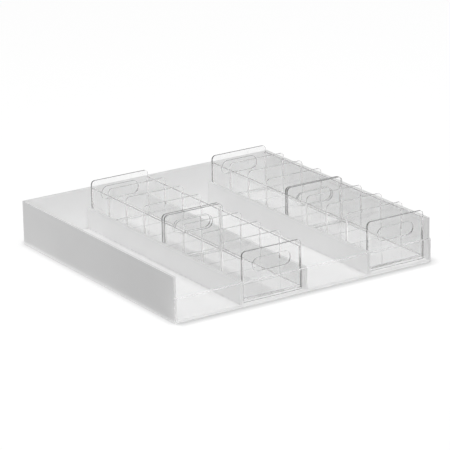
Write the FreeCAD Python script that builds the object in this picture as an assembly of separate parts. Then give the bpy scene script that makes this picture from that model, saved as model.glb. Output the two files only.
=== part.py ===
import FreeCAD, Part
import os

# Blood unit drawer: a white sheet tray with four lanes and a clear front lip. Two of the lanes
# hold two clear bins each, end to end, and every bin has three lift-out dividers.
# Millimetres. +Z is up, -Y is the front, and +X is to the right seen from the front.
# The origin is the centre of the whole footprint, on the plane that the tray rests on.

# Tray of white sheet
tray_width = 560.0
tray_depth = 536.0
floor_thickness = 5.0
wall_thickness = 5.0
wall_height = 81.0
partition_thickness = 5.0
partition_height = 43.0
lane_count = 4
sheet_round = 0.6

# Clear lip across the front
lip_thickness = 4.0
lip_height = 46.0

# Clear bins
plate_thickness = 4.0
plate_height = 94.5
plate_corner = 8.0
plate_foot_corner = 3.0
side_thickness = 3.0
side_height = 81.0
base_thickness = 4.0
base_lift = 3.0
divider_thickness = 3.0
cell_count = 4
clear_chamfer = 0.4

# Finger slot in each end plate, its middle measured down from the plate's top
slot_length = 82.0
slot_height = 26.0
slot_drop = 29.0

# Open slots in the sides of a bin, which the ears of the dividers drop into
ear_depth = 41.0

# Clearances
cement_film = 0.1
seat_gap = 0.2
lane_play = 3.1
end_play = 11.0
ear_play = 0.3
ear_seat_gap = 0.4
divider_side_play = 0.4

# Rows of bins: the lane from the left, the share of the end play in front of the front bin,
# and the share of what is left that lies behind the rear bin
left_row_lane = 2
left_row_front_share = 0.45
left_row_back_share = 0.33
right_row_lane = 4
right_row_front_share = 0.77
right_row_back_share = 0.6

# Places in the tray
tray_left = -tray_width / 2
tray_right = tray_width / 2
lip_front = -(tray_depth + cement_film + lip_thickness) / 2
tray_front = lip_front + lip_thickness + cement_film
tray_back = tray_front + tray_depth
wall_top = floor_thickness + wall_height
partition_top = floor_thickness + partition_height
lane_length = tray_depth - wall_thickness
partitions_width = (lane_count - 1) * partition_thickness
lane_width = (tray_width - 2 * wall_thickness - partitions_width) / lane_count

# Sizes and places in a bin, whose own frame has its front at y = 0 and its feet on z = 0
bin_width = lane_width - 2 * lane_play
bin_length = (lane_length - end_play) / 2
inner_width = bin_width - 2 * side_thickness
box_start = plate_thickness + cement_film
box_length = bin_length - 2 * box_start
base_top = base_lift + base_thickness
ear_seat = side_height - ear_depth
cell_pitch = (bin_length - plate_thickness) / cell_count


def near(a, b):
    return abs(a - b) < 1e-6


def block(low, high):
    """A box between two opposite corners."""
    size = [b - a for a, b in zip(low, high)]
    return Part.makeBox(*size, FreeCAD.Vector(*low))


def edges_where(shape, test):
    """The edges of a shape whose bounding box passes a test."""
    return [edge for edge in shape.Edges if test(edge.BoundBox)]


def rounded_face(corners):
    """Face in the XZ plane through square corners, each given as x, z and its radius."""
    turns = []
    for index, (x, z, radius) in enumerate(corners):
        corner = FreeCAD.Vector(x, 0, z)
        before = corners[index - 1]
        after = corners[(index + 1) % len(corners)]
        back = (FreeCAD.Vector(before[0], 0, before[1]) - corner).normalize()
        ahead = (FreeCAD.Vector(after[0], 0, after[1]) - corner).normalize()
        centre = corner + (back + ahead) * radius
        middle = centre - (back + ahead).normalize() * radius
        turns.append((corner + back * radius, middle, corner + ahead * radius))
    edges = []
    for (start, middle, end), following in zip(turns, turns[1:] + turns[:1]):
        if not near(start.distanceToPoint(end), 0):
            edges.append(Part.Arc(start, middle, end).toShape())
        if not near(end.distanceToPoint(following[0]), 0):
            edges.append(Part.LineSegment(end, following[0]).toShape())
    return Part.Face(Part.Wire(edges))


def rounded_rectangle(width, bottom, top, bottom_radius, top_radius):
    """Face in the XZ plane, centred on x = 0, with all four corners rounded."""
    half = width / 2
    return rounded_face([(-half, bottom, bottom_radius), (half, bottom, bottom_radius),
                         (half, top, top_radius), (-half, top, top_radius)])


def upright(face, thickness):
    """A sheet cut to a face, with its front on y = 0."""
    return face.extrude(FreeCAD.Vector(0, thickness, 0))


def break_edges(sheet, thickness, above):
    """Chamfer the edges of the front and rear face of an upright sheet that reach above a height."""
    rims = edges_where(sheet, lambda box: (near(box.YMax, 0) or near(box.YMin, thickness)) and
                       box.ZMax > above and not near(box.ZMax, above))
    return sheet.makeChamfer(clear_chamfer, rims)


def tray_floor():
    """The floor, under the walls and partitions, with its lower edges rounded."""
    sheet = block((tray_left, tray_front, 0), (tray_right, tray_back, floor_thickness))
    under = edges_where(sheet, lambda box: near(box.ZMax, 0))
    return sheet.makeFillet(sheet_round, under)


def side_wall(outer, inner):
    """A side wall on the floor, from the front to the back wall."""
    low, high = sorted((outer, inner))
    sheet = block((low, tray_front, floor_thickness), (high, tray_back - wall_thickness, wall_top))
    top = edges_where(sheet, lambda box: near(box.ZMin, wall_top) and
                      (near(box.XLength, 0) or near(box.YMax, tray_front)))
    front = edges_where(sheet, lambda box: near(box.YMax, tray_front) and near(box.XLength, 0))
    return sheet.makeFillet(sheet_round, top + front)


def back_wall():
    """The back wall on the floor, over the full width."""
    sheet = block((tray_left, tray_back - wall_thickness, floor_thickness),
                  (tray_right, tray_back, wall_top))
    top = edges_where(sheet, lambda box: near(box.ZMin, wall_top) and near(box.YLength, 0))
    corners = edges_where(sheet, lambda box: near(box.YMin, tray_back) and near(box.XLength, 0))
    return sheet.makeFillet(sheet_round, top + corners)


def lane_left(lane):
    """The left side of a lane, counted from 1 at the left wall."""
    return tray_left + wall_thickness + (lane - 1) * (lane_width + partition_thickness)


def partition(lane):
    """The low partition on the right of a lane, from the front to the back wall."""
    low = lane_left(lane) + lane_width
    sheet = block((low, tray_front, floor_thickness),
                  (low + partition_thickness, tray_back - wall_thickness, partition_top))
    top = edges_where(sheet, lambda box: near(box.ZMin, partition_top) and near(box.XLength, 0))
    return sheet.makeFillet(sheet_round, top)


def front_lip():
    """The clear strip cemented over the front ends of the floor, walls and partitions."""
    sheet = block((tray_left, lip_front, 0), (tray_right, lip_front + lip_thickness, lip_height))
    rims = edges_where(sheet, lambda box: near(box.ZMin, lip_height) or near(box.YMax, lip_front))
    return sheet.makeChamfer(clear_chamfer, rims)


def end_plate():
    """An end plate with round corners and its finger slot, with its front face on y = 0."""
    face = rounded_rectangle(bin_width, 0, plate_height, plate_foot_corner, plate_corner)
    slot_middle = plate_height - slot_drop
    slot_end = slot_height / 2
    slot = rounded_rectangle(slot_length, slot_middle - slot_end, slot_middle + slot_end,
                             slot_end, slot_end)
    plate = upright(face, plate_thickness).cut(upright(slot, plate_thickness))
    return break_edges(plate, plate_thickness, 0)


def divider_front(number):
    """The front face of a divider, from the front of its bin."""
    return plate_thickness / 2 + number * cell_pitch - divider_thickness / 2


def bin_side(hand):
    """A side of a bin, with a slot from its top edge for the ear of each divider."""
    low, high = sorted((hand * bin_width / 2, hand * inner_width / 2))
    side = block((low, box_start, base_lift), (high, box_start + box_length, side_height))
    top = edges_where(side, lambda box: near(box.ZMin, side_height) and near(box.XLength, 0))
    side = side.makeChamfer(clear_chamfer, top)
    for number in range(1, cell_count):
        slot_start = divider_front(number) - ear_play
        slot_stop = divider_front(number) + divider_thickness + ear_play
        side = side.cut(block((low, slot_start, ear_seat), (high, slot_stop, side_height)))
    return side


def bin_base():
    """The base of a bin, let in between its sides and end plates, a little above their feet."""
    half = inner_width / 2 - cement_film
    return block((-half, box_start, base_lift), (half, box_start + box_length, base_top))


def divider():
    """A divider: ears at the full width of the bin, and below them a body between its sides."""
    foot = base_top + seat_gap
    shoulder = ear_seat + ear_seat_gap
    ear = bin_width / 2
    body = inner_width / 2 - divider_side_play
    face = rounded_face([(-body, foot, 0), (body, foot, 0), (body, shoulder, 0),
                         (ear, shoulder, 0), (ear, plate_height, plate_corner),
                         (-ear, plate_height, plate_corner), (-ear, shoulder, 0),
                         (-body, shoulder, 0)])
    return break_edges(upright(face, divider_thickness), divider_thickness, shoulder)


def moved(shape, x, y, z):
    """A copy of a shape, shifted."""
    return shape.translated(FreeCAD.Vector(x, y, z))


def bin_pieces():
    """The pieces of one bin, by name, in the bin's own frame."""
    pieces = {"front_plate": end_plate(),
              "rear_plate": moved(end_plate(), 0, bin_length - plate_thickness, 0),
              "left_side": bin_side(-1),
              "right_side": bin_side(1),
              "base": bin_base()}
    for number in range(1, cell_count):
        pieces["divider_%d" % number] = moved(divider(), 0, divider_front(number), 0)
    return pieces


def bin_row(row, lane, front_share, back_share):
    """The front and rear bin of a row, by name, in place in their lane."""
    front_gap = front_share * end_play
    back_gap = back_share * (end_play - front_gap)
    x = lane_left(lane) + lane_width / 2
    starts = {"front": tray_front + front_gap,
              "rear": tray_front + lane_length - back_gap - bin_length}
    placed = {}
    for place, y in starts.items():
        for piece, shape in bin_pieces().items():
            name = "%s_%s_bin_%s" % (row, place, piece)
            placed[name] = moved(shape, x, y, floor_thickness + seat_gap)
    return placed


nodes = {"tray_floor": tray_floor(),
         "tray_left_wall": side_wall(tray_left, tray_left + wall_thickness),
         "tray_right_wall": side_wall(tray_right, tray_right - wall_thickness),
         "tray_back_wall": back_wall(),
         "tray_front_lip": front_lip()}
for lane in range(1, lane_count):
    nodes["tray_partition_%d" % lane] = partition(lane)
nodes.update(bin_row("left", left_row_lane, left_row_front_share, left_row_back_share))
nodes.update(bin_row("right", right_row_lane, right_row_front_share, right_row_back_share))

os.makedirs("parts", exist_ok=True)
for name, shape in nodes.items():
    shape.exportStep("parts/%s.step" % name)
    box = shape.BoundBox
    print(name, shape.isValid(), len(shape.Solids), round(shape.Volume),
          [round(v, 2) for v in (box.XMin, box.XMax, box.YMin, box.YMax, box.ZMin, box.ZMax)])
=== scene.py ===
import math

import bpy
from bpy.props import FloatProperty, FloatVectorProperty, PointerProperty
from mathutils import Matrix, Vector


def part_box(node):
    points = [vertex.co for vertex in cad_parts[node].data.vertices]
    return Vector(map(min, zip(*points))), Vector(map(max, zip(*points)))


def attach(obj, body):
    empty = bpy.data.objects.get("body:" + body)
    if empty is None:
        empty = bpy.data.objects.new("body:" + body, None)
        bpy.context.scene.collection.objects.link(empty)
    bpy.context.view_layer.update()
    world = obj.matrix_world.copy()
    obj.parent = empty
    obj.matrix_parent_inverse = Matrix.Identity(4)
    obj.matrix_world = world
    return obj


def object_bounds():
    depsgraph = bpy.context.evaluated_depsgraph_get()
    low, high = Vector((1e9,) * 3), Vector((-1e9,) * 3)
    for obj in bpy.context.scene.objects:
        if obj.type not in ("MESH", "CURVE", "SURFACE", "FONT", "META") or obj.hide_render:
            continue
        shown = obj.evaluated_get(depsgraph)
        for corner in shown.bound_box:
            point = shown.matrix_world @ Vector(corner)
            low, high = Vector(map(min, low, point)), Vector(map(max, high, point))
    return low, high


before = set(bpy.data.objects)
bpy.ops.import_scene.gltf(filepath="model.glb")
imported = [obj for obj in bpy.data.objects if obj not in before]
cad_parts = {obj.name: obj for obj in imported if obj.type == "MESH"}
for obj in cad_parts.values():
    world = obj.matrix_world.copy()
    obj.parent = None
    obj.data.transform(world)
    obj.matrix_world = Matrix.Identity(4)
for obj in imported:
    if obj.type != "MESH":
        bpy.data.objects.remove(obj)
CAD_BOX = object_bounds()

bl_info = {
    "name": "Blood Unit Drawer",
    "version": (1, 0, 0),
    "blender": (4, 5, 0),
    "location": "View3D > Sidebar > Drawer",
    "description": "Finishes the white tray, the clear bins and their dividers, and sets the stage",
    "category": "Object",
}

MM = 0.001

# The axes, and the two corners of a box
X, Y, Z = range(3)
LOW, HIGH = range(2)

BINS = ("left_front_bin", "left_rear_bin", "right_front_bin", "right_rear_bin")
DIVIDERS = (1, 2, 3)
PARTITIONS = ("tray_partition_1", "tray_partition_2", "tray_partition_3")
SIDE_WALLS = ("tray_left_wall", "tray_right_wall")

ACRYLIC_IOR = 1.49
CEMENT_IOR = 1.47


def linear(code):
    """The linear colour, with alpha 1, of an sRGB hex value."""
    parts = [int(code[n:n + 2], 16) / 255 for n in (1, 3, 5)]
    return [p / 12.92 if p <= 0.04045 else ((p + 0.055) / 1.055) ** 2.4 for p in parts] + [1.0]


def per_metre(millimetres):
    """The texture scale that gives a pattern a period of so many millimetres."""
    return 1 / (millimetres * MM)


# Settings that a user would change

class SheetSettings(bpy.types.PropertyGroup):
    """The opaque white sheet of the tray."""
    colour: FloatVectorProperty(name="Sheet colour", description="Colour of the white sheet",
                                subtype="COLOR", size=3, min=0, max=1,
                                default=linear("#F5F5F5")[:3])
    # Painted light: the floor sheet's edges are painted whiter than the sheet, standing in for
    # light scattered through it.
    painted_floor_edge_light: FloatVectorProperty(name="Floor edge colour",
                                     description="Colour of the edges of the floor sheet",
                                     subtype="COLOR", size=3, min=0, max=1,
                                     default=linear("#FDFDFD")[:3])
    # Painted shade: the top edges of the walls and partitions are painted greyer than the sheet,
    # dimming them under the lamp above.
    painted_edge_colour: FloatVectorProperty(name="Cut edge colour",
                                    description="Colour of the machined edges of the sheet",
                                    subtype="COLOR", size=3, min=0, max=1,
                                    default=linear("#DCDCDC")[:3])
    roughness: FloatProperty(name="Roughness", description="Roughness of the satin face",
                             subtype="FACTOR", min=0, max=1, default=0.42)
    peel: FloatProperty(name="Orange peel", description="Width of the waves in the satin face",
                        unit="LENGTH", min=0.0005, max=0.02, default=2.4 * MM)
    cement: FloatProperty(name="Cement bead", description="Leg of the bead in the tray's corners",
                          unit="LENGTH", min=0.0002, max=0.003, default=1.5 * MM)


class AcrylicSettings(bpy.types.PropertyGroup):
    """The clear acrylic of the lip, the bins and the dividers."""
    tint: FloatVectorProperty(name="Tint", description="What one sheet leaves of white light",
                              subtype="COLOR", size=3, min=0, max=1,
                              default=linear("#FFFFFF")[:3])
    # Painted shade: this dark tint on the plates' and dividers' edges stands in for the darker room
    # that polished edges mirror.
    painted_edge_shade: FloatVectorProperty(name="Painted edge shade",
                                      description="What a sawn and scraped edge lets through",
                                      subtype="COLOR", size=3, min=0, max=1,
                                      default=linear("#4E5050")[:3])
    flamed_tint: FloatVectorProperty(name="Flamed edge tint",
                                     description="What a flame-polished edge lets through",
                                     subtype="COLOR", size=3, min=0, max=1,
                                     default=linear("#FAFAFA")[:3])
    roughness: FloatProperty(name="Face roughness", description="Roughness of a polished face",
                             subtype="FACTOR", min=0, max=1, default=0.012)
    edge_roughness: FloatProperty(name="Edge roughness", description="Roughness of a cut edge",
                                  subtype="FACTOR", min=0, max=1, default=0.06)
    ior: FloatProperty(name="IOR", description="Index of refraction of cast acrylic",
                       min=1, max=2, default=ACRYLIC_IOR)
    cement: FloatProperty(name="Cement bead", description="Leg of the bead in the bins' corners",
                          unit="LENGTH", min=0.0002, max=0.002, default=0.9 * MM)


class StageSettings(bpy.types.PropertyGroup):
    """Floor, lamps and camera."""
    floor_colour: FloatVectorProperty(name="Floor colour", description="Colour of the paper floor",
                                      subtype="COLOR", size=3, min=0, max=1,
                                      default=linear("#707070")[:3])
    ambient: FloatProperty(name="Ambient light", description="Strength of the light all round",
                           min=0, max=5, default=0.48)
    overhead: FloatProperty(name="Overhead lamp", description="Power of the lamp above",
                            unit="POWER", min=0, max=2000, default=48)
    front: FloatProperty(name="Front lamp", description="Power of the lamp in front",
                         unit="POWER", min=0, max=2000, default=11)
    side: FloatProperty(name="Side lamp", description="Power of the lamp at the left rear",
                        unit="POWER", min=0, max=2000, default=5.9)
    lens: FloatProperty(name="Lens", description="Focal length of the camera",
                        unit="CAMERA", min=20, max=500, default=212.53)


# Helpers

def add_node(tree, kind, inputs=None, **settings):
    """Add a node with its settings. Each input is given a value or linked to a socket."""
    node = tree.nodes.new(kind)
    for name, value in settings.items():
        setattr(node, name, value)
    for name, value in (inputs or {}).items():
        if isinstance(value, bpy.types.NodeSocket):
            tree.links.new(value, node.inputs[name])
        else:
            node.inputs[name].default_value = value
    return node


def new_material(name):
    """An empty node material with its output, as the material, its tree and the output node."""
    material = bpy.data.materials.new(name)
    material.use_nodes = True
    tree = material.node_tree
    tree.nodes.clear()
    return material, tree, add_node(tree, "ShaderNodeOutputMaterial")


def opaque(colour):
    """A colour setting with alpha 1."""
    return list(colour) + [1]


def finish_node(node, material):
    """Give a CAD node one material, with flat faces and sharp edges as it came."""
    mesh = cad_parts[node].data
    mesh.materials.clear()
    mesh.materials.append(material)


def keep(piece, body):
    """Let a new piece move with its body."""
    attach(piece, body)


# Masks and patterns that the finishes share

# A cut edge's normal leans more than about 45 degrees off the face's, and a broken edge's more
# than about 10 degrees off every axis. Each mask runs from the first cosine to the second.
FACE_COSINE = 0.75
CUT_COSINE = 0.65
SQUARE_COSINE = 0.995
BROKEN_COSINE = 0.95

# Nearly all of a noise lies between these.
NOISE_LOW = 0.3
NOISE_HIGH = 0.7


def masks(tree, face_axis):
    """Masks of a flat sheet by its normal: its cut edges, and its broken edges and corners."""
    normal = add_node(tree, "ShaderNodeNewGeometry").outputs["Normal"]
    size = add_node(tree, "ShaderNodeVectorMath", {0: normal}, operation="ABSOLUTE").outputs[0]
    parts = add_node(tree, "ShaderNodeSeparateXYZ", {0: size}).outputs
    cut = add_node(tree, "ShaderNodeMapRange",
                   {"Value": parts[face_axis], "From Min": FACE_COSINE,
                    "From Max": CUT_COSINE}).outputs[0]
    most = add_node(tree, "ShaderNodeMath", {0: parts[X], 1: parts[Y]},
                    operation="MAXIMUM").outputs[0]
    most = add_node(tree, "ShaderNodeMath", {0: most, 1: parts[Z]},
                    operation="MAXIMUM").outputs[0]
    broken = add_node(tree, "ShaderNodeMapRange",
                      {"Value": most, "From Min": SQUARE_COSINE,
                       "From Max": BROKEN_COSINE}).outputs[0]
    return cut, broken


def pattern(tree, where, size, detail=2.0, roughness=0.5):
    """Noise of a size in millimetres, one number or one for each axis."""
    if not isinstance(size, (int, float)):
        stretch = [per_metre(s) for s in size]
        where = add_node(tree, "ShaderNodeMapping", {"Vector": where, "Scale": stretch}).outputs[0]
        scale = 1.0
    else:
        scale = per_metre(size)
    noise = add_node(tree, "ShaderNodeTexNoise", {"Vector": where, "Scale": scale,
                                                  "Detail": detail, "Roughness": roughness})
    return noise.outputs["Fac"]


def outward(tree):
    """The x, y and z of the normal that points out of the sheet, also where a ray is inside."""
    face = add_node(tree, "ShaderNodeNewGeometry").outputs
    sign = add_node(tree, "ShaderNodeMapRange",
                    {"Value": face["Backfacing"], "To Min": 1.0, "To Max": -1.0}).outputs[0]
    turned = add_node(tree, "ShaderNodeVectorMath", {0: face["Normal"], "Scale": sign},
                      operation="SCALE").outputs[0]
    return add_node(tree, "ShaderNodeSeparateXYZ", {0: turned}).outputs


# White acrylic sheet. Widths and lengths are in millimetres. The shade is the share of white left
# where a cloud is darkest. Pairs are the least and the most of a roughness, or of a change to it.
CLOUD_WIDTH = 110
CLOUD_SHADE = 0.978
WIPE_WIDTH = 21
WIPED_CHANGE = (-0.05, 0.06)
RUB_WIDTH = 1.1
RUB_LENGTH = 48.0
RUBBED_CHANGE = (-0.03, 0.05)
ROUTER_PITCH = 0.9
ROUTER_LENGTH = 12.0
ROUTED_ROUGHNESS = (0.5, 0.62)
HANDLED_ROUGHNESS = 0.3

# How strongly the waves of the face and the router marks show, and how deep they are
SHEET_BUMP = 0.35
SHEET_BUMP_DEPTH = 0.02 * MM


def white_sheet(name, face_axis, settings, painted_edge_colour):
    """Opaque white acrylic sheet, cast with a satin face and cut with a router."""
    material, tree, out = new_material(name)
    where = add_node(tree, "ShaderNodeTexCoord").outputs["Object"]
    cut, broken = masks(tree, face_axis)
    # Faint clouding of the white, as wide as a hand, keeps a large face from looking printed.
    clouds = pattern(tree, where, CLOUD_WIDTH, 3.0)
    cloud = add_node(tree, "ShaderNodeMapRange",
                     {"Value": clouds, "From Min": NOISE_LOW, "From Max": NOISE_HIGH,
                      "To Min": CLOUD_SHADE, "To Max": 1.0}).outputs[0]
    # Painted shade and painted light on the cut edges: the top edges of upright sheets are painted
    # greyer, and all of the floor's edges are painted lighter.
    sawn = cut
    if face_axis != Z:
        normal = add_node(tree, "ShaderNodeNewGeometry").outputs["Normal"]
        up = add_node(tree, "ShaderNodeSeparateXYZ", {0: normal}).outputs[Z]
        sawn = add_node(tree, "ShaderNodeMath", {0: cut, 1: up}, operation="MULTIPLY").outputs[0]
    colour = add_node(tree, "ShaderNodeMix", {0: sawn, 6: opaque(settings.colour),
                                              7: opaque(painted_edge_colour)},
                      data_type="RGBA").outputs[2]
    colour = add_node(tree, "ShaderNodeVectorMath", {0: colour, "Scale": cloud},
                      operation="SCALE").outputs[0]
    # A satin face is duller where it was wiped.
    wiped = pattern(tree, where, WIPE_WIDTH, 4.0)
    least, most = WIPED_CHANGE
    gloss = add_node(tree, "ShaderNodeMapRange",
                     {"Value": wiped, "From Min": NOISE_LOW, "From Max": NOISE_HIGH,
                      "To Min": settings.roughness + least,
                      "To Max": settings.roughness + most}).outputs[0]
    # Rub marks along the lanes, about 1 mm wide, show as streaks of a slightly other gloss.
    rubbed = pattern(tree, where, (RUB_WIDTH, RUB_LENGTH, RUB_WIDTH), 3.0, 0.6)
    least, most = RUBBED_CHANGE
    rubbed = add_node(tree, "ShaderNodeMapRange",
                      {"Value": rubbed, "From Min": NOISE_LOW, "From Max": NOISE_HIGH,
                       "To Min": least, "To Max": most}).outputs[0]
    gloss = add_node(tree, "ShaderNodeMath", {0: gloss, 1: rubbed}).outputs[0]
    # Router marks cross the thickness of a cut edge, 0.9 mm apart.
    across = [ROUTER_PITCH] * 3
    across[face_axis] = ROUTER_LENGTH
    routed = pattern(tree, where, across, 1.0)
    least, most = ROUTED_ROUGHNESS
    routed_gloss = add_node(tree, "ShaderNodeMapRange",
                            {"Value": routed, "From Min": NOISE_LOW, "From Max": NOISE_HIGH,
                             "To Min": least, "To Max": most}).outputs[0]
    gloss = add_node(tree, "ShaderNodeMix", {0: cut, 2: gloss, 3: routed_gloss}).outputs[0]
    # Handling polishes the broken edges.
    gloss = add_node(tree, "ShaderNodeMix", {0: broken, 2: gloss,
                                             3: HANDLED_ROUGHNESS}).outputs[0]
    peel = pattern(tree, where, settings.peel / MM, 1.5)
    height = add_node(tree, "ShaderNodeMix", {0: cut, 2: peel, 3: routed}).outputs[0]
    bump = add_node(tree, "ShaderNodeBump", {"Strength": SHEET_BUMP, "Height": height,
                                             "Distance": SHEET_BUMP_DEPTH}).outputs[0]
    shader = add_node(tree, "ShaderNodeBsdfPrincipled",
                      {"Base Color": colour, "Roughness": gloss, "IOR": ACRYLIC_IOR,
                       "Normal": bump})
    tree.links.new(shader.outputs[0], out.inputs[0])
    return material


# Clear acrylic sheet. Widths are in millimetres, and the rest is roughness.
HAIRLINE_WANDER = 26
HAIRLINE_ROUGHNESS = 0.05
SMUDGE_WIDTH = 17
SMUDGE_ROUGHNESS = 0.02
RIPPLE_PITCH = 1.6
BROKEN_ROUGHNESS = 0.11
SWELL_WIDTH = 34

# A hairline runs where the noise is this close to its middle, and is about 0.3 mm wide.
HAIRLINE_SHARE = 0.004

# A smudge shows from the first of these values of the noise and is full at the second.
SMUDGE_NOISE = (0.45, 0.75)

# The least and the most roughness of a rippled edge, as shares of its setting
RIPPLE_SHARES = (0.6, 1.5)

# How strongly swells and ripples show, how deep a ripple is, and a swell as so many ripples
CLEAR_BUMP = 0.5
RIPPLE_DEPTH = 0.012 * MM
SWELL_IN_RIPPLES = 6.0


def clear_sheet(name, face_axis, settings, painted_shade_mask=None, sawn=None):
    """Clear cast acrylic with polished faces and flamed edges.

    The shade mask is a function that picks the edges painted darker, a painted shade. Sawn says how
    matt the edges are that were left as sawn: the top ones, and then the upright ones.
    """
    material, tree, out = new_material(name)
    where = add_node(tree, "ShaderNodeTexCoord").outputs["Object"]
    cut, broken = masks(tree, face_axis)
    # Hairlines from wiping wander over the faces.
    wander = pattern(tree, where, HAIRLINE_WANDER, 3.0, 0.45)
    off = add_node(tree, "ShaderNodeMath", {0: wander, 1: 0.5}, operation="SUBTRACT").outputs[0]
    off = add_node(tree, "ShaderNodeMath", {0: off}, operation="ABSOLUTE").outputs[0]
    hairline = add_node(tree, "ShaderNodeMapRange",
                        {"Value": off, "From Max": HAIRLINE_SHARE,
                         "To Min": HAIRLINE_ROUGHNESS, "To Max": 0.0}).outputs[0]
    # Smudges the size of a fingertip dull the polish a little.
    smudge = pattern(tree, where, SMUDGE_WIDTH, 4.0, 0.6)
    start, full = SMUDGE_NOISE
    smudge = add_node(tree, "ShaderNodeMapRange",
                      {"Value": smudge, "From Min": start, "From Max": full,
                       "To Max": SMUDGE_ROUGHNESS}).outputs[0]
    gloss = add_node(tree, "ShaderNodeMath", {0: hairline, 1: smudge}).outputs[0]
    gloss = add_node(tree, "ShaderNodeMath", {0: gloss, 1: settings.roughness}).outputs[0]
    # Flaming leaves soft ripples about 1.6 mm apart on the cut edges.
    ripple = pattern(tree, where, RIPPLE_PITCH, 1.0)
    least, most = RIPPLE_SHARES
    rippled = add_node(tree, "ShaderNodeMapRange",
                       {"Value": ripple, "From Min": NOISE_LOW, "From Max": NOISE_HIGH,
                        "To Min": settings.edge_roughness * least,
                        "To Max": settings.edge_roughness * most}).outputs[0]
    gloss = add_node(tree, "ShaderNodeMix", {0: cut, 2: gloss, 3: rippled}).outputs[0]
    gloss = add_node(tree, "ShaderNodeMix", {0: broken, 2: gloss, 3: BROKEN_ROUGHNESS}).outputs[0]
    # Cast faces are flat to about a hundredth of a millimetre over a few centimetres.
    swell = pattern(tree, where, SWELL_WIDTH, 0.0)
    swell = add_node(tree, "ShaderNodeMath", {0: swell, 1: SWELL_IN_RIPPLES},
                     operation="MULTIPLY").outputs[0]
    height = add_node(tree, "ShaderNodeMix", {0: cut, 2: swell, 3: ripple}).outputs[0]
    bump = add_node(tree, "ShaderNodeBump", {"Strength": CLEAR_BUMP, "Height": height,
                                             "Distance": RIPPLE_DEPTH}).outputs[0]
    # Painted shade: a dark tint on the masked edges stands in for the darker room that polished
    # edges mirror.
    edge = opaque(settings.flamed_tint)
    if painted_shade_mask:
        edge = add_node(tree, "ShaderNodeMix", {0: painted_shade_mask(tree, where), 6: edge,
                                                7: opaque(settings.painted_edge_shade)},
                        data_type="RGBA").outputs[2]
    tint = add_node(tree, "ShaderNodeMix", {0: cut, 6: opaque(settings.tint), 7: edge},
                    data_type="RGBA").outputs[2]
    # Saw marks scatter light, so such an edge looks frosted white.
    clear = 1.0
    if sawn:
        clear = add_node(tree, "ShaderNodeMix", {0: frost(tree, cut, *sawn), 2: 1.0,
                                                 3: 0.0}).outputs[0]
    shader = add_node(tree, "ShaderNodeBsdfPrincipled",
                      {"Base Color": tint, "Roughness": gloss, "IOR": settings.ior,
                       "Transmission Weight": clear, "Normal": bump})
    through = clear_shadow(tree, shader.outputs[0])
    tree.links.new(through, out.inputs[0])
    return material


# How matt the sawn edges of each piece are: the top ones, then the upright ones
LIP_SAWN = (0.0, 0.75)
SIDE_SAWN = (0.15, 0.0)
DIVIDER_SAWN = (0.0, 0.35)

# The cosines of the outward normal with +Z between which an edge goes from upright to top
SAWN_TOP = (0.4, 0.8)
DIVIDER_SHADE_TOP = (0.5, 0.95)

# How much painted shade a divider's top edge takes, and a plate's edges other than its top
DIVIDER_EDGE_SHADE = 0.8
PLATE_SIDE_SHADE = 0.6

# A plate's top edge, with its round corners, reaches down to this height.
PLATE_TOP = CAD_BOX[HIGH][Z] - 11.7 * MM

# Past this distance from the middle of a plate are its sides, and nearer is its slot, where an edge
# takes painted shade if its outward x less its outward z is more than the second number.
# That picks the slot's upper and left faces.
PLATE_SIDE = 50 * MM
SLOT_TURN = 0.3


def row_middle(bin_name):
    """The middle of a row of bins, across the lanes."""
    low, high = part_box(bin_name + "_base")
    return (low[X] + high[X]) / 2


# The middle between the two rows of bins, and how far from there the middle of a row is
ROWS_MIDDLE = (row_middle("left_front_bin") + row_middle("right_front_bin")) / 2
ROW_FROM_MIDDLE = row_middle("right_front_bin") - ROWS_MIDDLE


def plate_edge_shade(tree, where):
    """How much painted shade an end plate's edge takes: most on top, less at the sides and in the
    slot.
    """
    place = add_node(tree, "ShaderNodeSeparateXYZ", {0: where}).outputs
    across = place[X]
    for middle in (ROWS_MIDDLE, ROW_FROM_MIDDLE):
        across = add_node(tree, "ShaderNodeMath", {0: across, 1: middle},
                          operation="SUBTRACT").outputs[0]
        across = add_node(tree, "ShaderNodeMath", {0: across}, operation="ABSOLUTE").outputs[0]
    top = add_node(tree, "ShaderNodeMath", {0: place[Z], 1: PLATE_TOP},
                   operation="GREATER_THAN").outputs[0]
    outer = add_node(tree, "ShaderNodeMath", {0: across, 1: PLATE_SIDE},
                     operation="GREATER_THAN").outputs[0]
    out = outward(tree)
    turned = add_node(tree, "ShaderNodeMath", {0: out[X], 1: out[Z]},
                      operation="SUBTRACT").outputs[0]
    turned = add_node(tree, "ShaderNodeMath", {0: turned, 1: SLOT_TURN},
                      operation="GREATER_THAN").outputs[0]
    side = add_node(tree, "ShaderNodeMath", {0: outer, 1: turned},
                    operation="MAXIMUM").outputs[0]
    side = add_node(tree, "ShaderNodeMath", {0: side, 1: PLATE_SIDE_SHADE},
                    operation="MULTIPLY").outputs[0]
    return add_node(tree, "ShaderNodeMath", {0: top, 1: side}, operation="MAXIMUM").outputs[0]


def divider_edge_shade(tree, where):
    """How much painted shade a divider's edge takes: on top, and less as it turns down to the side.
    """
    upright, top = DIVIDER_SHADE_TOP
    return add_node(tree, "ShaderNodeMapRange",
                    {"Value": outward(tree)[Z], "From Min": upright, "From Max": top,
                     "To Max": DIVIDER_EDGE_SHADE}).outputs[0]


def frost(tree, cut, matt_top, matt_upright):
    """How matt the cut edges are that were left as sawn: along the top, and the upright ones."""
    upright, top = SAWN_TOP
    level = add_node(tree, "ShaderNodeMapRange",
                     {"Value": outward(tree)[Z], "From Min": upright, "From Max": top,
                      "To Min": matt_upright, "To Max": matt_top}).outputs[0]
    return add_node(tree, "ShaderNodeMath", {0: cut, 1: level}, operation="MULTIPLY").outputs[0]


# A shadow ray that meets a face edge-on keeps this share of its light, and the power sets how
# close to edge-on that starts.
EDGE_ON_LIGHT = 0.995
EDGE_ON_POWER = 4.0


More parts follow.
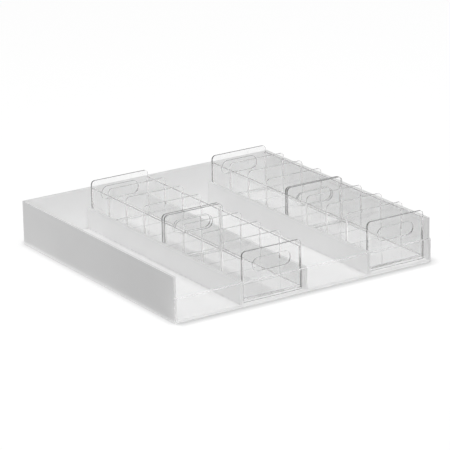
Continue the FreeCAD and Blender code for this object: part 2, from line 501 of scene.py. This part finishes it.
def clear_shadow(tree, shader):
    """A clear shader whose shadows are light, and darker where light meets a face edge-on."""
    facing = add_node(tree, "ShaderNodeLayerWeight", {"Blend": 0.5}).outputs["Facing"]
    steep = add_node(tree, "ShaderNodeMath", {0: facing, 1: EDGE_ON_POWER},
                     operation="POWER").outputs[0]
    left = add_node(tree, "ShaderNodeMapRange", {"Value": steep, "To Min": 1.0,
                                                 "To Max": EDGE_ON_LIGHT}).outputs[0]
    passed = add_node(tree, "ShaderNodeCombineColor", {0: left, 1: left, 2: left}).outputs[0]
    path = add_node(tree, "ShaderNodeLightPath").outputs
    aside = add_node(tree, "ShaderNodeMath",
                     {0: path["Is Shadow Ray"], 1: path["Is Diffuse Ray"]},
                     operation="MAXIMUM").outputs[0]
    clear = add_node(tree, "ShaderNodeBsdfTransparent", {"Color": passed}).outputs[0]
    return add_node(tree, "ShaderNodeMixShader", {0: aside, 1: shader, 2: clear}).outputs[0]


# Solvent cement. The swells along a bead are in millimetres, and then come their strength and
# height, the gloss of a white and a clear bead, and how unevenly white cement dries.
WHITE_BEAD_SWELL = 4.0
CLEAR_BEAD_SWELL = 3.0
BEAD_BUMP = 0.5
BEAD_BUMP_HEIGHT = 0.08 * MM
WHITE_BEAD_GLOSS = (0.22, 0.36)
CLEAR_BEAD_GLOSS = (0.06, 0.16)
DRIED_WIDTH = 9
DRIED_SHADE = 0.95


def cement(name, settings, swell, clear=False):
    """Solvent cement, which sets to a glossy hollow bead in an inside corner."""
    material, tree, out = new_material(name)
    where = add_node(tree, "ShaderNodeTexCoord").outputs["Object"]
    # The bead was drawn along by hand, and every few millimetres it swells and thins a little.
    flow = pattern(tree, where, swell, 2.0)
    bump = add_node(tree, "ShaderNodeBump", {"Strength": BEAD_BUMP, "Height": flow,
                                             "Distance": BEAD_BUMP_HEIGHT}).outputs[0]
    smoothest, roughest = CLEAR_BEAD_GLOSS if clear else WHITE_BEAD_GLOSS
    gloss = add_node(tree, "ShaderNodeMapRange",
                     {"Value": flow, "From Min": NOISE_LOW, "From Max": NOISE_HIGH,
                      "To Min": smoothest, "To Max": roughest}).outputs[0]
    if clear:
        colour = opaque(settings.tint)
    else:
        # It dries a little unevenly, so its white varies slightly from place to place.
        dried = pattern(tree, where, DRIED_WIDTH, 3.0)
        shade = add_node(tree, "ShaderNodeMapRange",
                         {"Value": dried, "From Min": NOISE_LOW, "From Max": NOISE_HIGH,
                          "To Min": DRIED_SHADE, "To Max": 1.0}).outputs[0]
        colour = add_node(tree, "ShaderNodeVectorMath",
                          {0: list(settings.colour), "Scale": shade},
                          operation="SCALE").outputs[0]
    shader = add_node(tree, "ShaderNodeBsdfPrincipled",
                      {"Base Color": colour, "Roughness": gloss, "IOR": CEMENT_IOR,
                       "Transmission Weight": 1.0 if clear else 0.0, "Normal": bump})
    shader = clear_shadow(tree, shader.outputs[0]) if clear else shader.outputs[0]
    tree.links.new(shader, out.inputs[0])
    return material


# Beads of cement, modelled in the inside corners where sheets were cemented together

# The hollow of a bead is a bevel of its free edge: the share of the leg that it takes, its
# profile, which curves inwards below 0.25, and its steps.
HOLLOW_SHARE = 0.88
HOLLOW_PROFILE = 0.14
HOLLOW_STEPS = 6
SMOOTH_ANGLE = math.radians(40)

# Two places nearer than this, in metres, are the same.
SAME = 1e-6


def cement_run(low, high, corner):
    """A run of cement between two corners, hollow on the side away from its joint.

    The corner says, for each axis, on which side of the run the joint is: -1, 1, or 0 along it.
    """
    low, high = Vector(low), Vector(high)
    bpy.ops.object.select_all(action="DESELECT")
    bpy.ops.mesh.primitive_cube_add(size=1.0, location=(low + high) / 2, scale=high - low)
    bpy.ops.object.transform_apply(location=True, rotation=True, scale=True)
    run = bpy.context.active_object
    free = [high[n] if side < 0 else low[n] for n, side in enumerate(corner)]
    across = [n for n in range(3) if corner[n]]
    for edge in run.data.edges:
        ends = [run.data.vertices[n].co for n in edge.vertices]
        edge.select = all(abs(end[n] - free[n]) < SAME for end in ends for n in across)
    leg = high[across[0]] - low[across[0]]
    bpy.ops.object.mode_set(mode="EDIT")
    bpy.ops.mesh.select_mode(type="EDGE")
    bpy.ops.mesh.bevel(offset=HOLLOW_SHARE * leg, segments=HOLLOW_STEPS,
                       profile=HOLLOW_PROFILE, affect="EDGES")
    bpy.ops.object.mode_set(mode="OBJECT")
    return run


def one_piece(runs, name, material):
    """Join runs of cement into one piece with a smooth hollow."""
    bpy.ops.object.select_all(action="DESELECT")
    for run in runs:
        run.select_set(True)
    bpy.context.view_layer.objects.active = runs[0]
    bpy.ops.object.join()
    piece = bpy.context.active_object
    bpy.ops.object.shade_smooth_by_angle(angle=SMOOTH_ANGLE)
    piece.name = name
    piece.data.name = name
    piece.data.materials.append(material)
    return piece


def copy_to(piece, name, shift):
    """A copy of a piece, with its own mesh, at another place."""
    copy = bpy.data.objects.new(name, piece.data.copy())
    copy.data.name = name
    copy.data.transform(Matrix.Translation(shift))
    bpy.context.scene.collection.objects.link(copy)
    return copy


# Clear beads stand this far off the faces, so that no two clear faces fall together.
BEAD_GAP = 0.02 * MM

# Along the base a bead stops this far from a divider, which lifts out.
BEAD_STOP = 0.6 * MM


# Operators, one for each group of like pieces

class DRAWER_OT_tray(bpy.types.Operator):
    """Finish the tray's floor, walls and partitions as white sheet"""
    bl_idname = "drawer.tray"
    bl_label = "White tray"

    def execute(self, context):
        settings = context.scene.drawer_sheet
        flat = white_sheet("white_acrylic_sheet_floor", Z, settings, settings.painted_floor_edge_light)
        side = white_sheet("white_acrylic_sheet_walls", X, settings, settings.painted_edge_colour)
        back = white_sheet("white_acrylic_sheet_back", Y, settings, settings.painted_edge_colour)
        finish_node("tray_floor", flat)
        for node in SIDE_WALLS + PARTITIONS:
            finish_node(node, side)
        finish_node("tray_back_wall", back)
        return {"FINISHED"}


class DRAWER_OT_tray_cement(bpy.types.Operator):
    """Run a bead of cement round the foot of each lane's walls"""
    bl_idname = "drawer.tray_cement"
    bl_label = "Tray cement"

    def execute(self, context):
        settings = context.scene.drawer_sheet
        leg = settings.cement
        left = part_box("tray_left_wall")[HIGH][X]
        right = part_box("tray_partition_1")[LOW][X]
        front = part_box("tray_floor")[LOW][Y]
        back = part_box("tray_back_wall")[LOW][Y]
        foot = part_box("tray_floor")[HIGH][Z]
        top = foot + leg
        material = cement("solvent_cement_white", settings, WHITE_BEAD_SWELL)
        runs = [cement_run((left, front, foot), (left + leg, back, top), (-1, 0, -1)),
                cement_run((right - leg, front, foot), (right, back, top), (1, 0, -1)),
                cement_run((left, back - leg, foot), (right, back, top), (0, 1, -1))]
        first = one_piece(runs, "tray_cement_1", material)
        keep(first, "tray")
        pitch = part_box("tray_partition_2")[LOW][X] - right
        for lanes in (1, 2, 3):
            bead = copy_to(first, "tray_cement_%d" % (lanes + 1), (lanes * pitch, 0, 0))
            keep(bead, "tray")
        return {"FINISHED"}


class DRAWER_OT_lip(bpy.types.Operator):
    """Finish the lip across the front as clear sheet"""
    bl_idname = "drawer.lip"
    bl_label = "Clear lip"

    def execute(self, context):
        settings = context.scene.drawer_acrylic
        lip = clear_sheet("clear_acrylic_lip", Y, settings, sawn=LIP_SAWN)
        finish_node("tray_front_lip", lip)
        return {"FINISHED"}


class DRAWER_OT_bins(bpy.types.Operator):
    """Finish the end plates, sides and bases of the bins as clear sheet"""
    bl_idname = "drawer.bins"
    bl_label = "Clear bins"

    def execute(self, context):
        settings = context.scene.drawer_acrylic
        plate = clear_sheet("clear_acrylic_end_plate", Y, settings, painted_shade_mask=plate_edge_shade)
        side = clear_sheet("clear_acrylic_side", X, settings, sawn=SIDE_SAWN)
        base = clear_sheet("clear_acrylic_base", Z, settings)
        for name in BINS:
            finish_node(name + "_front_plate", plate)
            finish_node(name + "_rear_plate", plate)
            finish_node(name + "_left_side", side)
            finish_node(name + "_right_side", side)
            finish_node(name + "_base", base)
        return {"FINISHED"}


class DRAWER_OT_bin_cement(bpy.types.Operator):
    """Run clear beads of cement in the inside corners of each bin, between its dividers"""
    bl_idname = "drawer.bin_cement"
    bl_label = "Bin cement"

    def execute(self, context):
        settings = context.scene.drawer_acrylic
        leg = settings.cement
        name = BINS[0]
        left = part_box(name + "_left_side")[HIGH][X] + BEAD_GAP
        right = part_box(name + "_right_side")[LOW][X] - BEAD_GAP
        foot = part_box(name + "_base")[HIGH][Z] + BEAD_GAP
        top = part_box(name + "_left_side")[HIGH][Z] - leg
        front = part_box(name + "_front_plate")[HIGH][Y] + BEAD_GAP
        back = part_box(name + "_rear_plate")[LOW][Y] - BEAD_GAP
        bead_top = foot + leg
        post_foot = bead_top + BEAD_GAP
        runs = []
        for low, high, side in ((front, front + leg, -1), (back - leg, back, 1)):
            runs += [cement_run((left, low, foot), (right, high, bead_top), (0, side, -1)),
                     cement_run((left, low, post_foot), (left + leg, high, top), (-1, side, 0)),
                     cement_run((right - leg, low, post_foot), (right, high, top), (1, side, 0))]
        starts = [front + leg + BEAD_GAP]
        stops = []
        for number in DIVIDERS:
            low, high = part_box("%s_divider_%d" % (name, number))
            stops.append(low[Y] - BEAD_STOP)
            starts.append(high[Y] + BEAD_STOP)
        stops.append(back - leg - BEAD_GAP)
        for start, stop in zip(starts, stops):
            runs += [cement_run((left, start, foot), (left + leg, stop, bead_top), (-1, 0, -1)),
                     cement_run((right - leg, start, foot), (right, stop, bead_top), (1, 0, -1))]
        material = cement("solvent_cement_clear", settings, CLEAR_BEAD_SWELL, clear=True)
        first = one_piece(runs, name + "_cement", material)
        keep(first, name)
        here = Vector(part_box(name + "_base")[LOW])
        for other in BINS[1:]:
            shift = Vector(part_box(other + "_base")[LOW]) - here
            keep(copy_to(first, other + "_cement", shift), other)
        return {"FINISHED"}


class DRAWER_OT_dividers(bpy.types.Operator):
    """Finish the lift-out dividers as clear sheet"""
    bl_idname = "drawer.dividers"
    bl_label = "Clear dividers"

    def execute(self, context):
        settings = context.scene.drawer_acrylic
        divider = clear_sheet("clear_acrylic_divider", Y, settings, painted_shade_mask=divider_edge_shade,
                              sawn=DIVIDER_SAWN)
        for name in BINS:
            for number in DIVIDERS:
                finish_node("%s_divider_%d" % (name, number), divider)
        return {"FINISHED"}


class DRAWER_OT_stage(bpy.types.Operator):
    """Set the pale floor, the soft lamps and the camera"""
    bl_idname = "drawer.stage"
    bl_label = "Stage"

    def execute(self, context):
        settings = context.scene.drawer_stage
        stage_floor(settings)
        stage_world(settings)
        stage_lamps(settings)
        stage_camera(settings)
        light_paths()
        return {"FINISHED"}


# The stage

def mirrored_rays(tree):
    """1 for a ray mirrored in an outer face, and 0 for one that comes through a clear sheet."""
    path = add_node(tree, "ShaderNodeLightPath").outputs
    return add_node(tree, "ShaderNodeMath",
                    {0: path["Is Glossy Ray"], 1: path["Is Transmission Ray"]},
                    operation="SUBTRACT", use_clamp=True).outputs[0]


def seen_rays(tree):
    """1 for a ray that shows the background: from the camera, mirrored or through a sheet."""
    path = add_node(tree, "ShaderNodeLightPath").outputs
    most = add_node(tree, "ShaderNodeMath", {0: path["Is Camera Ray"], 1: path["Is Glossy Ray"]},
                    operation="MAXIMUM").outputs[0]
    return add_node(tree, "ShaderNodeMath", {0: most, 1: path["Is Transmission Ray"]},
                    operation="MAXIMUM").outputs[0]


def beside_tray(tree, where):
    """How far a place on the floor is outside the tray's footprint."""
    size = add_node(tree, "ShaderNodeVectorMath", {0: where}, operation="ABSOLUTE").outputs[0]
    parts = add_node(tree, "ShaderNodeSeparateXYZ", {0: size}).outputs
    aside = add_node(tree, "ShaderNodeMath", {0: parts[X], 1: CAD_BOX[HIGH][X]},
                     operation="SUBTRACT").outputs[0]
    ahead = add_node(tree, "ShaderNodeMath", {0: parts[Y], 1: CAD_BOX[HIGH][Y]},
                     operation="SUBTRACT").outputs[0]
    return add_node(tree, "ShaderNodeMath", {0: aside, 1: ahead}, operation="MAXIMUM").outputs[0]


FLOOR_SIZE = 40.0
FLOOR_DROP = 0.2 * MM
FIBRE_WIDTH = 2.0
FIBRE_BUMP = 0.1
FIBRE_DEPTH = 0.05 * MM
PAPER_ROUGHNESS = 0.9

TRAY_LEFT = CAD_BOX[LOW][X]
TRAY_RIGHT = CAD_BOX[HIGH][X]
TRAY_FRONT = CAD_BOX[LOW][Y]

# How pale the paper is to light that bounces off it: bright in front of the tray, most of all at
# the left, as if a reflector lay there, and dim past the reflector's left end and beside the
# tray. Pairs are where the reflector fades out and is whole, or is whole and fades out.
REFLECTOR_LEFT = 1.0
REFLECTOR_RIGHT = 0.5
NO_REFLECTOR = 0.22
REFLECTOR_MARGIN = 20 * MM
REFLECTOR_END = (TRAY_LEFT - 150 * MM, TRAY_LEFT - 30 * MM)
REFLECTOR_REAR = (TRAY_FRONT - 10 * MM, TRAY_FRONT + 10 * MM)

# Under the tray the paper counts as white, and it fades to the rest this far out from its foot.
FOOT_MARGIN = 9 * MM

# How far the contact shadow reaches, and the share of white that it leaves, left of the tray
# and elsewhere, and what it leaves through a clear sheet. It is full where half the sky is hidden.
LEFT_REACH = 16 * MM
REACH = 24 * MM
LEFT_SHADE = 0.64
SHADE = 0.42
SHADE_THROUGH = 0.55
LEFT_SIDE = (TRAY_LEFT - 5 * MM, TRAY_LEFT + 5 * MM)
HALF_HIDDEN = 0.5

# How white the open floor is to the camera, and the share of that in a mirroring face and
# through a clear sheet
FLOOR_GLOW = 0.87
FLOOR_MIRRORED = 0.3
FLOOR_THROUGH = 0.93


def bounce_paleness(tree, where, place):
    """How pale the paper is to light that bounces off it, from place to place."""
    pale = add_node(tree, "ShaderNodeMapRange",
                    {"Value": place[X], "From Min": TRAY_LEFT - REFLECTOR_MARGIN,
                     "From Max": TRAY_RIGHT + REFLECTOR_MARGIN,
                     "To Min": REFLECTOR_LEFT, "To Max": REFLECTOR_RIGHT}).outputs[0]
    outer, inner = REFLECTOR_END
    pale = add_node(tree, "ShaderNodeMapRange",
                    {"Value": place[X], "From Min": outer, "From Max": inner,
                     "To Min": NO_REFLECTOR, "To Max": pale}).outputs[0]
    front, rear = REFLECTOR_REAR
    pale = add_node(tree, "ShaderNodeMapRange",
                    {"Value": place[Y], "From Min": front, "From Max": rear,
                     "To Min": pale, "To Max": NO_REFLECTOR}).outputs[0]
    return add_node(tree, "ShaderNodeMapRange",
                    {"Value": beside_tray(tree, where), "From Max": FOOT_MARGIN,
                     "To Min": 1.0, "To Max": pale}).outputs[0]


def floor_glow(tree, place):
    """How white the floor is to the camera and the clear sheets, with the contact shadow."""
    outer, inner = LEFT_SIDE
    reach = add_node(tree, "ShaderNodeMapRange",
                     {"Value": place[X], "From Min": outer, "From Max": inner,
                      "To Min": LEFT_REACH, "To Max": REACH}).outputs[0]
    open_sky = add_node(tree, "ShaderNodeAmbientOcclusion", {"Distance": reach}).outputs["AO"]
    through = add_node(tree, "ShaderNodeLightPath").outputs["Is Transmission Ray"]
    shade = add_node(tree, "ShaderNodeMapRange",
                     {"Value": place[X], "From Min": outer, "From Max": inner,
                      "To Min": LEFT_SHADE, "To Max": SHADE}).outputs[0]
    shade = add_node(tree, "ShaderNodeMapRange", {"Value": through, "To Min": shade,
                                                  "To Max": SHADE_THROUGH}).outputs[0]
    glow = add_node(tree, "ShaderNodeMapRange",
                    {"Value": open_sky, "From Min": HALF_HIDDEN, "To Min": shade,
                     "To Max": FLOOR_GLOW}).outputs[0]
    for rays, share in ((mirrored_rays(tree), FLOOR_MIRRORED), (through, FLOOR_THROUGH)):
        share = add_node(tree, "ShaderNodeMapRange", {"Value": rays, "To Min": 1.0,
                                                      "To Max": share}).outputs[0]
        glow = add_node(tree, "ShaderNodeMath", {0: glow, 1: share},
                        operation="MULTIPLY").outputs[0]
    return glow


def stage_floor(settings):
    """Matt paper on the floor, which reads as white and keeps the tray's shadow."""
    bpy.ops.mesh.primitive_plane_add(size=FLOOR_SIZE, location=(0, 0, -FLOOR_DROP))
    floor = bpy.context.active_object
    floor.name = "studio_floor"
    bpy.ops.object.transform_apply(location=True, rotation=True, scale=True)
    material, tree, out = new_material("matt_studio_paper")
    where = add_node(tree, "ShaderNodeTexCoord").outputs["Object"]
    place = add_node(tree, "ShaderNodeSeparateXYZ", {0: where}).outputs
    # Paper fibres a few tenths of a millimetre wide are drawn 2 mm wide, which still shows.
    fibre = pattern(tree, where, FIBRE_WIDTH, 2.0)
    bump = add_node(tree, "ShaderNodeBump", {"Strength": FIBRE_BUMP, "Height": fibre,
                                             "Distance": FIBRE_DEPTH}).outputs[0]
    pale = bounce_paleness(tree, where, place)
    pale = add_node(tree, "ShaderNodeCombineColor", {0: pale, 1: pale, 2: pale}).outputs[0]
    seen = seen_rays(tree)
    colour = add_node(tree, "ShaderNodeMix", {0: seen, 6: pale, 7: opaque(settings.floor_colour)},
                      data_type="RGBA").outputs[2]
    paper = add_node(tree, "ShaderNodeBsdfPrincipled",
                     {"Base Color": colour, "Roughness": PAPER_ROUGHNESS,
                      "Specular IOR Level": 0.0, "Normal": bump}).outputs[0]
    glow = add_node(tree, "ShaderNodeEmission", {"Strength": floor_glow(tree, place)}).outputs[0]
    glow = add_node(tree, "ShaderNodeMixShader", {0: seen, 2: glow}).outputs[0]
    both = add_node(tree, "ShaderNodeAddShader", {0: paper, 1: glow}).outputs[0]
    tree.links.new(both, out.inputs[0])
    floor.data.materials.append(material)


# Clear sheets show a backdrop in this direction. It ends between these cosines of the angle off
# that direction, and upwards between these sines of the height, and the room past it is darker.
BACKDROP = (0.542, 0.834, 0.1)
BACKDROP_SIDE = (0.5, 0.78)
BACKDROP_TOP = (0.14, 0.26)
ROOM = 0.3
BACKDROP_MIRRORED = 0.8


def stage_world(settings):
    """Even light all round. Clear sheets also show a darker room beside and above a backdrop."""
    world = bpy.data.worlds.new("studio")
    bpy.context.scene.world = world
    world.use_nodes = True
    tree = world.node_tree
    tree.nodes.clear()
    out = add_node(tree, "ShaderNodeOutputWorld")
    ambient = add_node(tree, "ShaderNodeBackground",
                       {"Color": (1, 1, 1, 1), "Strength": settings.ambient}).outputs[0]
    way = add_node(tree, "ShaderNodeTexCoord").outputs["Generated"]
    toward = add_node(tree, "ShaderNodeVectorMath", {0: way, 1: BACKDROP},
                      operation="DOT_PRODUCT").outputs["Value"]
    past, whole = BACKDROP_SIDE
    wall = add_node(tree, "ShaderNodeMapRange",
                    {"Value": toward, "From Min": past, "From Max": whole, "To Min": ROOM,
                     "To Max": 1.0}).outputs[0]
    up = add_node(tree, "ShaderNodeSeparateXYZ", {0: way}).outputs[Z]
    whole, past = BACKDROP_TOP
    above = add_node(tree, "ShaderNodeMapRange",
                     {"Value": up, "From Min": whole, "From Max": past, "To Min": 1.0,
                      "To Max": ROOM}).outputs[0]
    wall = add_node(tree, "ShaderNodeMath", {0: wall, 1: above}, operation="MULTIPLY").outputs[0]
    # Only a ray that was mirrored on its way sees the room.
    path = add_node(tree, "ShaderNodeLightPath").outputs
    bounced = add_node(tree, "ShaderNodeMath", {0: path["Glossy Depth"], 1: 0.5},
                       operation="GREATER_THAN").outputs[0]
    wall = add_node(tree, "ShaderNodeMix", {0: bounced, 2: 1.0, 3: wall}).outputs[0]
    wall = add_node(tree, "ShaderNodeMix", {0: mirrored_rays(tree), 2: wall,
                                            3: BACKDROP_MIRRORED}).outputs[0]
    backdrop = add_node(tree, "ShaderNodeBackground", {"Color": (1, 1, 1, 1),
                                                       "Strength": wall}).outputs[0]
    mixed = add_node(tree, "ShaderNodeMixShader", {0: seen_rays(tree), 1: ambient,
                                                   2: backdrop}).outputs[0]
    tree.links.new(mixed, out.inputs[0])


# Each lamp's name, which is also its setting's, then its width, its height and its place. All
# of them point at the middle of the tray's foot.
LAMPS = (("overhead", 3.0, 3.0, (-0.1, -0.45, 2.9)),
         ("front", 2.4, 2.4, (-0.8, -3.4, 1.9)),
         ("side", 0.3, 0.1, (-1.6, 0.85, 0.05)))


def stage_lamps(settings):
    """Soft lamps above and in front, and a flat one low at the left rear."""
    for name, width, height, place in LAMPS:
        data = bpy.data.lights.new(name + "_lamp", "AREA")
        data.energy = getattr(settings, name)
        data.shape = "RECTANGLE"
        data.size = width
        data.size_y = height
        lamp = bpy.data.objects.new(name + "_lamp", data)
        lamp.location = place
        lamp.rotation_euler = (-Vector(place)).to_track_quat("-Z", "Y").to_euler()
        lamp.visible_camera = False
        lamp.visible_glossy = False
        lamp.visible_transmission = False
        bpy.context.scene.collection.objects.link(lamp)


# The camera of the photo, fitted to the tray's straight edges. Its place and how far it sees are
# in metres, its angles in degrees, and its sensor in millimetres, as its lens is.
CAMERA_PLACE = Vector((-2.57472, -3.96248, 1.62852))
CAMERA_AZIMUTH = 33.036
CAMERA_ELEVATION = 18.421
CAMERA_ROLL = -1.038
CAMERA_SENSOR = 36.0
CAMERA_SEES = 100.0


def stage_camera(settings):
    """The camera at the photo's viewing angle, with colours shown as they are."""
    azimuth = math.radians(CAMERA_AZIMUTH)
    elevation = math.radians(CAMERA_ELEVATION)
    roll = math.radians(CAMERA_ROLL)
    ahead = Vector((math.sin(azimuth) * math.cos(elevation),
                    math.cos(azimuth) * math.cos(elevation), -math.sin(elevation)))
    level = Vector((math.cos(azimuth), -math.sin(azimuth), 0))
    right = level * math.cos(roll) + level.cross(ahead) * math.sin(roll)
    data = bpy.data.cameras.new("camera")
    data.lens = settings.lens
    data.sensor_width = CAMERA_SENSOR
    data.clip_end = CAMERA_SEES
    camera = bpy.data.objects.new("camera", data)
    turn = Matrix((right, right.cross(ahead), -ahead)).transposed()
    camera.matrix_world = Matrix.Translation(CAMERA_PLACE) @ turn.to_4x4()
    scene = bpy.context.scene
    scene.collection.objects.link(camera)
    scene.camera = camera
    scene.view_settings.view_transform = "Standard"


# Light goes through and round inside dozens of clear faces, which takes many bounces.
CLEAR_BOUNCES = 128
WHITE_BOUNCES = 16
SHADOW_FACES = 48


def light_paths():
    """Follow light far enough through the stacked clear sheets, and without caustics."""
    cycles = bpy.context.scene.cycles
    cycles.max_bounces = CLEAR_BOUNCES
    cycles.diffuse_bounces = WHITE_BOUNCES
    cycles.transmission_bounces = CLEAR_BOUNCES
    cycles.glossy_bounces = CLEAR_BOUNCES
    cycles.transparent_max_bounces = SHADOW_FACES
    cycles.caustics_reflective = False
    cycles.caustics_refractive = False


class DRAWER_PT_panel(bpy.types.Panel):
    """Lists the pieces of the drawer and their settings"""
    bl_idname = "DRAWER_PT_panel"
    bl_label = "Blood Unit Drawer"
    bl_space_type = "VIEW_3D"
    bl_region_type = "UI"
    bl_category = "Drawer"

    def draw(self, context):
        layout = self.layout
        for operator in OPERATORS:
            layout.operator(operator.bl_idname)
        for pointer, group in GROUPS.items():
            for name in group.__annotations__:
                layout.prop(getattr(context.scene, pointer), name)


GROUPS = {"drawer_sheet": SheetSettings, "drawer_acrylic": AcrylicSettings,
          "drawer_stage": StageSettings}
OPERATORS = (DRAWER_OT_tray, DRAWER_OT_tray_cement, DRAWER_OT_lip, DRAWER_OT_bins,
             DRAWER_OT_bin_cement, DRAWER_OT_dividers, DRAWER_OT_stage)


def register():
    """Add the settings, the operators and the panel to Blender."""
    for group in GROUPS.values():
        bpy.utils.register_class(group)
    for pointer, group in GROUPS.items():
        setattr(bpy.types.Scene, pointer, PointerProperty(type=group))
    for operator in OPERATORS:
        bpy.utils.register_class(operator)
    bpy.utils.register_class(DRAWER_PT_panel)


def unregister():
    """Take the panel, the operators and the settings out again."""
    bpy.utils.unregister_class(DRAWER_PT_panel)
    for operator in reversed(OPERATORS):
        bpy.utils.unregister_class(operator)
    for pointer in GROUPS:
        delattr(bpy.types.Scene, pointer)
    for group in GROUPS.values():
        bpy.utils.unregister_class(group)


def main():
    """Finish the drawer piece by piece and set the stage."""
    register()
    bpy.ops.drawer.tray()
    bpy.ops.drawer.tray_cement()
    bpy.ops.drawer.lip()
    bpy.ops.drawer.bins()
    bpy.ops.drawer.bin_cement()
    bpy.ops.drawer.dividers()
    bpy.ops.drawer.stage()


if __name__ == "__main__":
    main()
